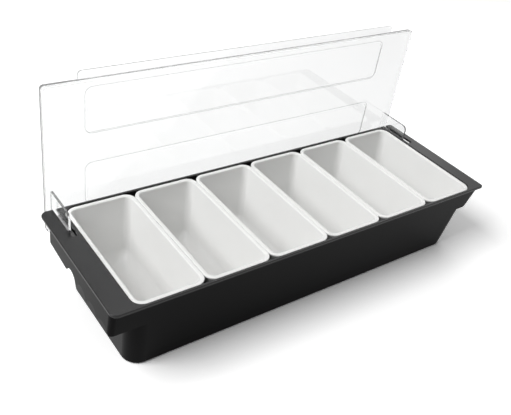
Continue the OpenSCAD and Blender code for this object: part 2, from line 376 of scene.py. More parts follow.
def spun(
    profile: list[tuple[float, float]], axis_at: tuple[float, float], steps: int, closed: bool
) -> bmesh.types.BMesh:
    """Turns a profile about a line along X.

    Args:
        profile: Points of x and radius, in millimetres.
        axis_at: The line's y and z.
        steps: Segments of the turn.
        closed: Joins the profile's last point to its first, as for a bush.

    Returns:
        The mesh with its faces outwards.
    """
    bm = bmesh.new()
    verts = [bm.verts.new((x, axis_at[0], axis_at[1] + r)) for x, r in profile]
    ends = list(zip(verts, verts[1:])) + ([(verts[-1], verts[0])] if closed else [])
    edges = [bm.edges.new(pair) for pair in ends]
    bmesh.ops.spin(
        bm,
        geom=verts + edges,
        cent=(0, *axis_at),
        axis=(1, 0, 0),
        angle=math.tau,
        steps=steps,
        use_merge=True,
    )
    bmesh.ops.remove_doubles(bm, verts=bm.verts, dist=0.001)
    turn_outwards(bm)
    return bm


def joined(parts: list[bmesh.types.BMesh]) -> bmesh.types.BMesh:
    """Puts several meshes in work into one and frees them."""
    whole = bmesh.new()
    for part in parts:
        held = bpy.data.meshes.new("held")
        part.to_mesh(held)
        part.free()
        whole.from_mesh(held)
        bpy.data.meshes.remove(held)
    return whole


def as_object(name: str, bm: bmesh.types.BMesh, smooth_deg: float = 32.0) -> bpy.types.Object:
    """Makes an object in metres of a mesh in millimetres.

    Args:
        name: The object's name.
        bm: The mesh, which is freed.
        smooth_deg: Edges sharper than this stay sharp.

    Returns:
        The object, at the origin.
    """
    bmesh.ops.scale(bm, vec=(MM, MM, MM), verts=bm.verts)
    mesh = bpy.data.meshes.new(name)
    bm.to_mesh(mesh)
    bm.free()
    mesh.shade_smooth()
    mesh.set_sharp_from_angle(angle=math.radians(smooth_deg))
    made = bpy.data.objects.new(name, mesh)
    bpy.context.scene.collection.objects.link(made)
    return made


class Cut(Enum):
    """How one solid changes another."""

    AWAY = "DIFFERENCE"
    ONTO = "UNION"


def combine(piece: bpy.types.Object, tool: bmesh.types.BMesh, how: Cut) -> None:
    """Cuts a solid out of a piece, or fuses it on.

    Args:
        piece: The piece, whose mesh is replaced.
        tool: The other solid in millimetres, which is freed.
        how: Away or onto.
    """
    other = as_object("tool", tool)
    change = piece.modifiers.new("combine", "BOOLEAN")
    change.operation = how.value
    change.solver = "EXACT"
    change.object = other
    graph = bpy.context.evaluated_depsgraph_get()
    made = bpy.data.meshes.new_from_object(piece.evaluated_get(graph))
    piece.modifiers.clear()
    old, piece.data = piece.data, made
    made.name = piece.name
    bpy.data.meshes.remove(old)
    spent = other.data
    bpy.data.objects.remove(other)
    bpy.data.meshes.remove(spent)


def rod_x(
    radius: float, span: tuple[float, float], centre: tuple[float, float], steps: int
) -> bmesh.types.BMesh:
    """Round bar along X.

    Args:
        radius: Its radius in millimetres.
        span: Its two ends' X.
        centre: Y and Z of its middle line.
        steps: Number of its sides.

    Returns:
        The bar as a mesh in work.
    """
    bm = bmesh.new()
    bmesh.ops.create_cone(
        bm, cap_ends=True, segments=steps, radius1=radius, radius2=radius, depth=span[1] - span[0]
    )
    bmesh.ops.rotate(
        bm, cent=(0, 0, 0), matrix=Matrix.Rotation(math.radians(90), 3, "Y"), verts=bm.verts
    )
    bmesh.ops.translate(bm, vec=((span[0] + span[1]) / 2, *centre), verts=bm.verts)
    return bm


def soften(piece: bpy.types.Object, radius: float, below: float) -> None:
    """Rounds a piece's sharp edges under a level with an applied bevel.

    Args:
        piece: The piece.
        radius: The edge radius in millimetres.
        below: Edges that lie over this level in millimetres stay sharp.
    """
    bm = bmesh.new()
    bm.from_mesh(piece.data)
    bmesh.ops.remove_doubles(bm, verts=bm.verts, dist=0.000004)
    bmesh.ops.dissolve_limit(
        bm, angle_limit=math.radians(1), verts=bm.verts, edges=bm.edges
    )
    sharp = [
        e for e in bm.edges
        if e.is_manifold
        and e.calc_face_angle() > math.radians(50)
        and all(v.co.z < below * MM for v in e.verts)
    ]
    round_edges(bm, sharp, radius * MM)
    bm.to_mesh(piece.data)
    bm.free()
    piece.data.shade_smooth()
    piece.data.set_sharp_from_angle(angle=math.radians(40))


def finish_mesh(piece: bpy.types.Object, smooth_deg: float) -> None:
    """Merges what a combination left double and sets the smooth edges."""
    bm = bmesh.new()
    bm.from_mesh(piece.data)
    bmesh.ops.remove_doubles(bm, verts=bm.verts, dist=0.000004)
    bmesh.ops.dissolve_degenerate(bm, edges=bm.edges, dist=0.000002)
    bm.to_mesh(piece.data)
    bm.free()
    piece.data.shade_smooth()
    piece.data.set_sharp_from_angle(angle=math.radians(smooth_deg))


# ---------------------------------------------------------------------------
# Finishes
# ---------------------------------------------------------------------------


class Nodes:
    """A small helper that adds and links shader nodes."""

    def __init__(self, name: str) -> None:
        """Starts a material of that name with an empty node tree."""
        self.material = bpy.data.materials.new(name)
        self.material.use_nodes = True
        self.tree = self.material.node_tree
        self.tree.nodes.clear()
        self.place = self.add("ShaderNodeTexCoord").outputs["Object"]

    def add(self, kind: str, **settings: object) -> bpy.types.Node:
        """Adds a node with its properties set."""
        node = self.tree.nodes.new(kind)
        for key, value in settings.items():
            setattr(node, key, value)
        return node

    def link(self, source: bpy.types.NodeSocket, target: bpy.types.NodeSocket) -> None:
        """Links two sockets."""
        self.tree.links.new(source, target)

    def noise(
        self, grain_mm: float, detail: float, stretch: tuple = (1, 1, 1)
    ) -> bpy.types.NodeSocket:
        """Noise whose features are about grain_mm wide.

        Args:
            grain_mm: Width of a feature in millimetres.
            detail: Octaves of finer detail.
            stretch: Scale of the pattern along each axis.

        Returns:
            The socket with the noise's value.
        """
        place = self.place
        if stretch != (1, 1, 1):
            mapping = self.add("ShaderNodeMapping")
            mapping.inputs["Scale"].default_value = stretch
            self.link(place, mapping.inputs["Vector"])
            place = mapping.outputs["Vector"]
        node = self.add("ShaderNodeTexNoise")
        node.inputs["Scale"].default_value = 1 / (grain_mm * MM)
        node.inputs["Detail"].default_value = detail
        self.link(place, node.inputs["Vector"])
        return node.outputs["Fac"]

    def ranged(self, value: bpy.types.NodeSocket, low: float, high: float) -> bpy.types.NodeSocket:
        """Maps noise to a range."""
        node = self.add("ShaderNodeMapRange")
        node.inputs["From Min"].default_value = 0.3
        node.inputs["From Max"].default_value = 0.7
        node.inputs["To Min"].default_value = low
        node.inputs["To Max"].default_value = high
        self.link(value, node.inputs["Value"])
        return node.outputs["Result"]

    def blend(
        self, value: bpy.types.NodeSocket, first: tuple, second: tuple
    ) -> bpy.types.NodeSocket:
        """Mixes two colours by noise."""
        ramp = self.add("ShaderNodeValToRGB")
        ramp.color_ramp.elements[0].position = 0.3
        ramp.color_ramp.elements[1].position = 0.7
        ramp.color_ramp.elements[0].color = (*first, 1)
        ramp.color_ramp.elements[1].color = (*second, 1)
        self.link(value, ramp.inputs["Fac"])
        return ramp.outputs["Color"]

    def bump(self, height: bpy.types.NodeSocket, depth_mm: float) -> bpy.types.NodeSocket:
        """Normal for a relief of depth_mm."""
        node = self.add("ShaderNodeBump")
        node.inputs["Strength"].default_value = 1.0
        node.inputs["Distance"].default_value = depth_mm * MM
        self.link(height, node.inputs["Height"])
        return node.outputs["Normal"]

    def multiplied(
        self, value: bpy.types.NodeSocket, factor: float, more: float
    ) -> bpy.types.NodeSocket:
        """The value times a factor, with a fixed amount added."""
        node = self.add("ShaderNodeMath", operation="MULTIPLY_ADD")
        self.link(value, node.inputs[0])
        node.inputs[1].default_value = factor
        node.inputs[2].default_value = more
        return node.outputs[0]

    def output(self, shader: bpy.types.NodeSocket) -> bpy.types.Material:
        """Links the surface and gives the material."""
        self.link(shader, self.add("ShaderNodeOutputMaterial").inputs["Surface"])
        return self.material


def scaled(colour: tuple[float, float, float], share: float) -> tuple[float, float, float]:
    """A colour made lighter or darker by a share."""
    return tuple(min(1.0, c * share) for c in colour)


@dataclass(frozen=True)
class MouldedPlastic:
    """Opaque injection-moulded plastic with flow mottling and a fine skin."""

    name: str
    colour: tuple[float, float, float]
    mottling: float
    mottle_mm: float
    roughness: tuple[float, float]
    skin_mm: float
    skin_depth_mm: float
    specular: float = 0.5
    under_skin: float = 0.0

    def material(self) -> bpy.types.Material:
        """Builds the material."""
        n = Nodes(self.name)
        surface = n.add("ShaderNodeBsdfPrincipled")
        cloud = n.noise(self.mottle_mm, 3)
        colour = n.blend(
            cloud, scaled(self.colour, 1 - self.mottling), scaled(self.colour, 1 + self.mottling)
        )
        n.link(colour, surface.inputs["Base Color"])
        wear = n.noise(self.mottle_mm * 0.45, 5, (1.0, 0.35, 1.0))
        n.link(n.ranged(wear, *self.roughness), surface.inputs["Roughness"])
        skin = n.noise(self.skin_mm, 2)
        n.link(n.bump(skin, self.skin_depth_mm), surface.inputs["Normal"])
        surface.inputs["Specular IOR Level"].default_value = self.specular
        if self.under_skin:
            surface.inputs["Subsurface Weight"].default_value = self.under_skin
            surface.inputs["Subsurface Radius"].default_value = (1.0, 0.95, 0.9)
            surface.inputs["Subsurface Scale"].default_value = 0.002
        return n.output(surface.outputs["BSDF"])


@dataclass(frozen=True)
class ClearPlastic:
    """Polished see-through plastic that lets lamps shine through."""

    name: str
    tint: tuple[float, float, float]
    roughness: tuple[float, float]
    wave_mm: float
    wave_depth_mm: float
    clearness: float
    ior: float = 1.49

    def material(self) -> bpy.types.Material:
        """Builds the material."""
        n = Nodes(self.name)
        glass = n.add("ShaderNodeBsdfPrincipled")
        glass.inputs["Transmission Weight"].default_value = 1.0
        glass.inputs["IOR"].default_value = self.ior
        cloud = n.noise(70, 2)
        n.link(
            n.blend(cloud, scaled(self.tint, 0.992), self.tint), glass.inputs["Base Color"]
        )
        n.link(n.ranged(n.noise(24, 4), *self.roughness), glass.inputs["Roughness"])
        n.link(n.bump(n.noise(self.wave_mm, 1), self.wave_depth_mm), glass.inputs["Normal"])
        through = n.add("ShaderNodeBsdfTransparent")
        through.inputs["Color"].default_value = (*scaled(self.tint, 0.97), 1)
        path = n.add("ShaderNodeLightPath")
        mix = n.add("ShaderNodeMixShader")
        share = n.add("ShaderNodeMath", operation="MAXIMUM")
        share.inputs[1].default_value = self.clearness
        n.link(path.outputs["Is Shadow Ray"], share.inputs[0])
        n.link(share.outputs[0], mix.inputs[0])
        n.link(glass.outputs["BSDF"], mix.inputs[1])
        n.link(through.outputs["BSDF"], mix.inputs[2])
        return n.output(mix.outputs["Shader"])


DECK_FINISH = MouldedPlastic(
    name="black_deck_plastic",
    colour=(0.008, 0.008, 0.0083),
    mottling=0.12,
    mottle_mm=60,
    roughness=(0.20, 0.27),
    skin_mm=2.4,
    skin_depth_mm=0.003,
    specular=0.35,
)
# Painted shade: a darker copy of the deck's black plastic, with a lower colour and a tenth of the
# deck's gloss. The shell, skirts, ledges and bosses render darker than the deck under the same
# lamps, standing in for the shadowed floor they reflect.
SHADED_SHELL_FINISH = MouldedPlastic(
    name="black_shell_plastic_painted_shade",
    colour=(0.003, 0.003, 0.0032),
    mottling=0.12,
    mottle_mm=60,
    roughness=(0.12, 0.18),
    skin_mm=2.4,
    skin_depth_mm=0.002,
    specular=0.035,
)
INSERT_FINISH = MouldedPlastic(
    name="white_insert_plastic",
    colour=(0.83, 0.83, 0.82),
    mottling=0.012,
    mottle_mm=45,
    roughness=(0.30, 0.40),
    skin_mm=2.2,
    skin_depth_mm=0.01,
)
PIN_FINISH = MouldedPlastic(
    name="black_pin_plastic",
    colour=(0.022, 0.022, 0.022),
    mottling=0.1,
    mottle_mm=6,
    roughness=(0.22, 0.34),
    skin_mm=0.8,
    skin_depth_mm=0.004,
)
LID_FINISH = ClearPlastic(
    name="clear_lid_plastic",
    tint=(0.99, 0.995, 0.995),
    roughness=(0.0, 0.015),
    wave_mm=80,
    wave_depth_mm=0.004,
    clearness=0.06,
)


# ---------------------------------------------------------------------------
# Sub-assemblies
# ---------------------------------------------------------------------------


def dress(
    piece: bpy.types.Object, material: bpy.types.Material, body: str
) -> bpy.types.Object:
    """Gives a piece its material and lets it ride on its body.

    Args:
        piece: The piece.
        material: Its finish.
        body: The body of the frame that it moves with.

    Returns:
        The same piece.
    """
    piece.data.materials.clear()
    piece.data.materials.append(material)
    flats = piece.modifiers.new("flat_faces_shade_flat", "WEIGHTED_NORMAL")
    flats.keep_sharp = True
    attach(piece, body)
    log.info("%s: %d faces, rides on %s", piece.name, len(piece.data.polygons), body)
    return piece


@dataclass
class Insert:
    """One lift-out insert: a drafted cup with a rolled rim."""

    number: int
    material: bpy.types.Material
    rim_t: float = 2.2
    rim_corner: float = 11.5
    overhang: float = 2.6
    wall: float = 1.8
    floor_r: float = 15.0
    floor_spread: float = 6.0
    draft_x: float = 4.0
    draft_y: float = 7.3
    rim_edge: float = 0.8
    mouth_edge: float = 1.2
    under_edge: float = 0.5
    step_down: float = 12.0
    corner_steps: int = 10
    floor_steps: int = 10

    def build(self) -> bpy.types.Object:
        """Lofts the insert from its rim's underside round the mouth to its floor."""
        node = f"insert_{self.number}"
        low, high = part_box(node)
        centre_x = (low.x + high.x) / 2 / MM
        half_x, half_y = (high.x - low.x) / 2 / MM, high.y / MM
        top, bottom = high.z / MM, low.z / MM
        seat = top - self.rim_t
        outer = DraftedForm(
            half_x - self.overhang, half_y - self.overhang, self.rim_corner - self.overhang,
            seat + 1, self.draft_x, self.draft_y, centre_x,
        )
        inner = DraftedForm(
            outer.half_x - self.wall, outer.half_y - self.wall, outer.corner - self.wall,
            top, self.draft_x, self.draft_y, centre_x,
        )
        plate = DraftedForm(half_x, half_y, self.rim_corner, top, 0, 0, centre_x)

        def rim(inset: float, level: float) -> Section:
            """Section of the rim's plate."""
            return plate.at(level, inset)

        def mouth(inset: float, level: float) -> Section:
            """Section of the mouth, which opens outwards."""
            return inner.at(level, inset)

        edge, lip, under = self.rim_edge, self.mouth_edge, self.under_edge
        sections = list(
            reversed(
                outer.floor(
                    bottom, self.floor_r + self.wall, self.floor_spread, self.floor_steps
                )
            )
        )
        sections += [outer.at(seat - self.step_down), outer.at(seat)]
        sections += edge_arc(rim, (under, seat + under), under, (-90, 0), 2)
        sections += edge_arc(rim, (edge, top - edge), edge, (0, 90), 4)
        sections += edge_arc(mouth, (-lip, top - lip), -lip, (-90, 0), 4)
        sections += [inner.at(seat - self.step_down)]
        sections += inner.floor(
            bottom + self.wall, self.floor_r, self.floor_spread, self.floor_steps
        )
        cup = as_object(f"{node}_cup", loft(sections, self.corner_steps))
        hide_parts(node)
        return dress(cup, self.material, node)


@dataclass
class Tub:
    """The black tub: shell, deck, ledges, pin bosses and the two end skirts."""

    deck_material: bpy.types.Material
    shell_painted_shade_material: bpy.types.Material
    deck_t: float = 3.0
    deck_left_corner: float = 7.5
    deck_right_corner: float = 4.0
    opening_x: float = 228.9
    opening_y: float = 79.5
    opening_corner: float = 12.0
    lip: float = 2.5
    lip_chamfer: float = 1.0
    deck_edge: float = 0.9
    deck_under_edge: float = 0.4
    opening_edge: float = 0.5
    wall_x: float = 232.5
    shell_corner: float = 17.0
    well_x: float = 229.9
    well_y: float = 77.0
    floor_t: float = 3.0
    bottom_edge: float = 2.5
    end_draft: float = 3.8
    side_draft: float = 7.3
    slot_x: float = 235.5
    slot_w: float = 6.0
    slot_front: float = 33.4
    slot_corner: float = 0.8
    ledge_in: float = 226.4
    ledge_half: float = 55.0
    ledge_edge: float = 0.4
    boss_out: float = 233.9
    boss_r: float = 5.6
    boss_steps: int = 40
    web_in: float = 0.3
    bore_r: float = 3.02
    pivot: tuple[float, float] = PIVOT_YZ
    skirt_t: float = 2.5
    skirt_front_low: float = 62.0
    skirt_rear_low: float = 74.0
    skirt_rear: float = 55.1
    skirt_in: float = 2.0
    skirt_edge: float = 0.45
    skirt_edge_top: float = 66.0
    sheet_end: float = 214.5
    scallops: int = 4
    scallop_w: float = 20.5
    scallop_h: float = 7.5
    scallop_land: float = 2.5
    scallop_start: float = 39.0
    right_skirt_in: float = 6.5
    right_skirt_rear: float = 25.1
    right_skirt_low: float = 61.0
    right_skirt_lean: float = 7.5
    right_skirt_turn: float = 3.5
    right_skirt_corner: float = 3.5
    right_lean_from: float = 228.0
    corner_steps: int = 12
    deck_top: float = field(init=False)
    seat: float = field(init=False)
    deck_y: float = field(init=False)
    left_x: float = field(init=False)
    right_x: float = field(init=False)

    def __post_init__(self) -> None:
        """Reads the deck's reach and height from the frame."""
        low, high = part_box("tub")
        self.left_x, self.right_x = low.x / MM, high.x / MM
        self.deck_y, self.deck_top = high.y / MM, high.z / MM
        self.seat = self.deck_top - self.deck_t

    @property
    def wall_y(self) -> float:
        """Half width of the shell just under the deck."""
        return self.deck_y - self.lip

    def shell(self) -> bmesh.types.BMesh:
        """Drafted shell with a round bottom edge, open at the top."""
        outside = DraftedForm(
            self.wall_x, self.wall_y, self.shell_corner, self.seat, self.end_draft, self.side_draft
        )
        inside = DraftedForm(
            self.well_x, self.well_y, self.opening_corner, self.seat + 1,
            self.end_draft, self.side_draft,
        )
        chamfer = self.lip_chamfer
        flare = outside.at(self.seat, -chamfer)
        down = outside.floor(0, self.bottom_edge, 0, 6)
        up = inside.floor(self.floor_t, self.bottom_edge, 0, 6)
        sections = [*reversed(down), outside.at(self.seat - chamfer), flare]
        sections += [inside.at(self.seat), *up]
        return loft(sections, self.corner_steps)

    def deck(self) -> bpy.types.Object:
        """Flat deck with its opening and its two hinge slots."""
        middle = (self.left_x + self.right_x) / 2
        outer = DraftedForm(
            (self.right_x - self.left_x) / 2, self.deck_y, self.deck_right_corner,
            self.deck_top, 0, 0, middle, left_corner=self.deck_left_corner,
        )
        hole = DraftedForm(
            self.opening_x, self.opening_y, self.opening_corner, self.deck_top, 0, 0
        )

        def out(inset: float, level: float) -> Section:
            """Section of the deck's outside."""
            return outer.at(level, inset)

        def inn(inset: float, level: float) -> Section:
            """Section of the deck's opening."""
            return hole.at(level, inset)

        edge, under, soft = self.deck_edge, self.deck_under_edge, self.opening_edge
        sections = edge_arc(out, (under, self.seat + under), under, (-90, 0), 2)
        sections += edge_arc(out, (edge, self.deck_top - edge), edge, (0, 90), 4)
        sections += edge_arc(inn, (-soft, self.deck_top - soft), -soft, (-90, 0), 3)
        sections += [hole.at(self.seat)]
        piece = as_object("deck_plate", loft(sections, self.corner_steps, closed=True))
        for side in (-1, 1):
            cutter = block(
                (side * self.slot_x - self.slot_w / 2, self.slot_front, self.seat - 1),
                (side * self.slot_x + self.slot_w / 2, self.deck_y + 5, self.deck_top + 1),
            )
            upright_edges = [
                e for e in cutter.edges if abs(e.verts[0].co.z - e.verts[1].co.z) > 1
            ]
            round_edges(cutter, upright_edges, self.slot_corner)
            combine(piece, cutter, Cut.AWAY)
        finish_mesh(piece, 32)
        return piece

    def fittings(self) -> bmesh.types.BMesh:
        """End ledges for the rims and the bosses that hold the pins."""
        parts = []
        for side in (-1, 1):
            ends = sorted((side * self.ledge_in, side * (self.well_x + 1)))
            parts.append(
                block(
                    (ends[0], -self.ledge_half, self.seat - self.deck_t),
                    (ends[1], self.ledge_half, self.seat),
                    self.ledge_edge,
                )
            )
            y, z = self.pivot
            near, far = side * self.ledge_in, side * self.boss_out
            bore, outside = self.bore_r, self.boss_r
            bush = [(near, bore), (far, bore), (far, outside), (near, outside)]
            parts.append(spun(bush, (y, z), self.boss_steps, closed=True))
            for flank in (-1, 1):
                web = sorted((y + flank * (self.bore_r + self.web_in), y + flank * self.boss_r))
                parts.append(
                    block(
                        (min(near, far), web[0], z),
                        (max(near, far), web[1], self.seat),
                    )
                )
        return joined(parts)

    def lowered(
        self,
        bm: bmesh.types.BMesh,
        stations: list[tuple[Callable[[Vector], float], float]],
        lean_from: float,
    ) -> None:
        """Draws an outline down through its stations.

        Args:
            bm: A mesh with one flat face at the seat.
            stations: For each step, the level as a function of the place, and how far the
                points beyond lean_from move in along X.
            lean_from: The X beyond which points lean in.
        """
        slope = draft(self.side_draft)
        face = next(f for f in bm.faces)
        top_face = None
        for level, lean in stations:
            made = bmesh.ops.extrude_face_region(bm, geom=[face])["geom"]
            if top_face is not None and face.is_valid:
                bmesh.ops.delete(bm, geom=[face], context="FACES_ONLY")
            top_face = face
            face = next(g for g in made if isinstance(g, bmesh.types.BMFace))
            for v in [g for g in made if isinstance(g, bmesh.types.BMVert)]:
                drop = v.co.z - level(v.co)
                if v.co.x > lean_from:
                    v.co.x -= lean
                if v.co.y < -self.wall_y / 2:
                    v.co.y += drop * slope
                v.co.z -= drop
        turn_outwards(bm)

    def left_skirt(self) -> bpy.types.Object:
        """Skirt flush with the deck's left end, with its front sheet and finger scallops."""
        x, t, y0 = self.left_x, self.skirt_t, -self.wall_y
        rear, inner = self.skirt_rear, -self.sheet_end
        corner = self.deck_left_corner - self.skirt_in
        bm = bmesh.new()
        outline_face(
            bm,
            [(x, rear), (x, y0), (inner, y0), (inner, y0 + t), (x + t, y0 + t), (x + t, rear)],
            self.seat,
        )
        round_corner(bm, (x, y0), corner, 8)
        round_corner(bm, (x + t, y0 + t), corner - t, 8)
        front = y0 + (self.seat - self.skirt_front_low) * draft(self.side_draft)
        rise = (self.skirt_rear_low - self.skirt_front_low) / (rear - front)

        def level(co: Vector) -> float:
            """Lower edge, which rises from the front sheet towards the back."""
            return self.skirt_front_low + rise * max(0.0, co.y - front)

        self.lowered(bm, [(level, 0.0)], math.inf)
        piece = as_object("left_skirt", bm)
        half, height = self.scallop_w / 2, self.scallop_h
        radius = (half**2 + height**2) / (2 * height)
        for i in range(self.scallops):
            y = rear - self.scallop_start - half - i * (self.scallop_w + self.scallop_land)
            z = self.skirt_front_low + rise * (y - front) + height - radius
            combine(piece, rod_x(radius, (x - 1, x + t + 1), (y, z), 72), Cut.AWAY)
        soften(piece, self.skirt_edge, self.skirt_edge_top)
        return piece

    def right_skirt(self) -> bmesh.types.BMesh:
        """Skirt under the right lip, leaning in towards its rounded lower edge."""
        top_x, t, y0 = self.right_x - self.right_skirt_in, self.skirt_t, -self.wall_y
        rear, inner, low = self.right_skirt_rear, self.sheet_end, self.right_skirt_low
        lean, turn, corner = self.right_skirt_lean, self.right_skirt_turn, self.right_skirt_corner
        bm = bmesh.new()
        outline_face(
            bm,
            [
                (inner, y0), (top_x, y0), (top_x, rear),
                (top_x - t, rear), (top_x - t, y0 + t), (inner, y0 + t),
            ],
            self.seat,
        )
        round_corner(bm, (top_x, y0), corner, 6)
        round_corner(bm, (top_x - t, y0 + t), corner - 2, 6)
        share = (self.seat - low - turn) / (self.seat - low)
        stations = [(lambda co: low + turn, lean * share)]
        for i in range(1, 5):
            a = math.radians(90 * i / 4)
            b = math.radians(90 * (i - 1) / 4)
            stations.append(
                (
                    lambda co, a=a: low + turn * (1 - math.sin(a)),
                    turn * (math.cos(b) - math.cos(a)) * 0.7 + lean * (1 - share) / 4,
                )
            )
        self.lowered(bm, stations, self.right_lean_from)
        return bm

    def build(self) -> None:
        """Builds and dresses every piece of the tub."""
        shell = as_object("tub_shell", self.shell())
        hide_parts("tub")
        dress(self.deck(), self.deck_material, "base")
        pieces = [
            shell,
            as_object("rim_ledges_and_bosses", self.fittings()),
            self.left_skirt(),
            as_object("right_skirt", self.right_skirt(), 40),
        ]
        # The shell, ledges, bosses and skirts take the darker copy of the black plastic, which
        # holds painted shade.
        for piece in pieces:
            dress(piece, self.shell_painted_shade_material, "base")


@dataclass
class HingePin:
    """One headed pin that an ear of the lid turns on."""

    name: str
    side: int
    material: bpy.types.Material
    pivot: tuple[float, float] = PIVOT_YZ
    shank_r: float = 3.0
    head_r: float = 5.2
    head_t: float = 2.0
    tip: float = 226.8
    bevel: float = 0.5
    head_edge: float = 0.2
    dome_h: float = 0.8
    dome_w: float = 1.4
    dish_r: tuple[float, float] = (2.0, 1.6)
    dish_depth: float = 0.6
    steps: int = 48

    def build(self) -> None:
        """Spins the pin from its tip to its domed head."""
        low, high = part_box(self.name)
        face = max(abs(low.x), abs(high.x)) / MM
        seat = face - self.head_t
        b = self.bevel
        profile = [
            (self.tip, 0.0),
            (self.tip, self.shank_r - b),
            (self.tip + b, self.shank_r),
            (seat, self.shank_r),
            (seat, self.head_r - self.head_edge),
            (seat + self.head_edge, self.head_r),
        ]
        for i in range(5):
            a = math.radians(90 * i / 4)
            x = face - self.dome_h * (1 - math.sin(a))
            profile.append((x, self.head_r - self.dome_w * (1 - math.cos(a))))
        low_x = face - self.dish_depth
        profile += [(face, self.dish_r[0]), (low_x, self.dish_r[1]), (low_x, 0.0)]
        turned = spun([(self.side * x, r) for x, r in profile], self.pivot, self.steps, False)
        piece = as_object(f"{self.name}_turned", turned)
        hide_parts(self.name)
        dress(piece, self.material, "base")


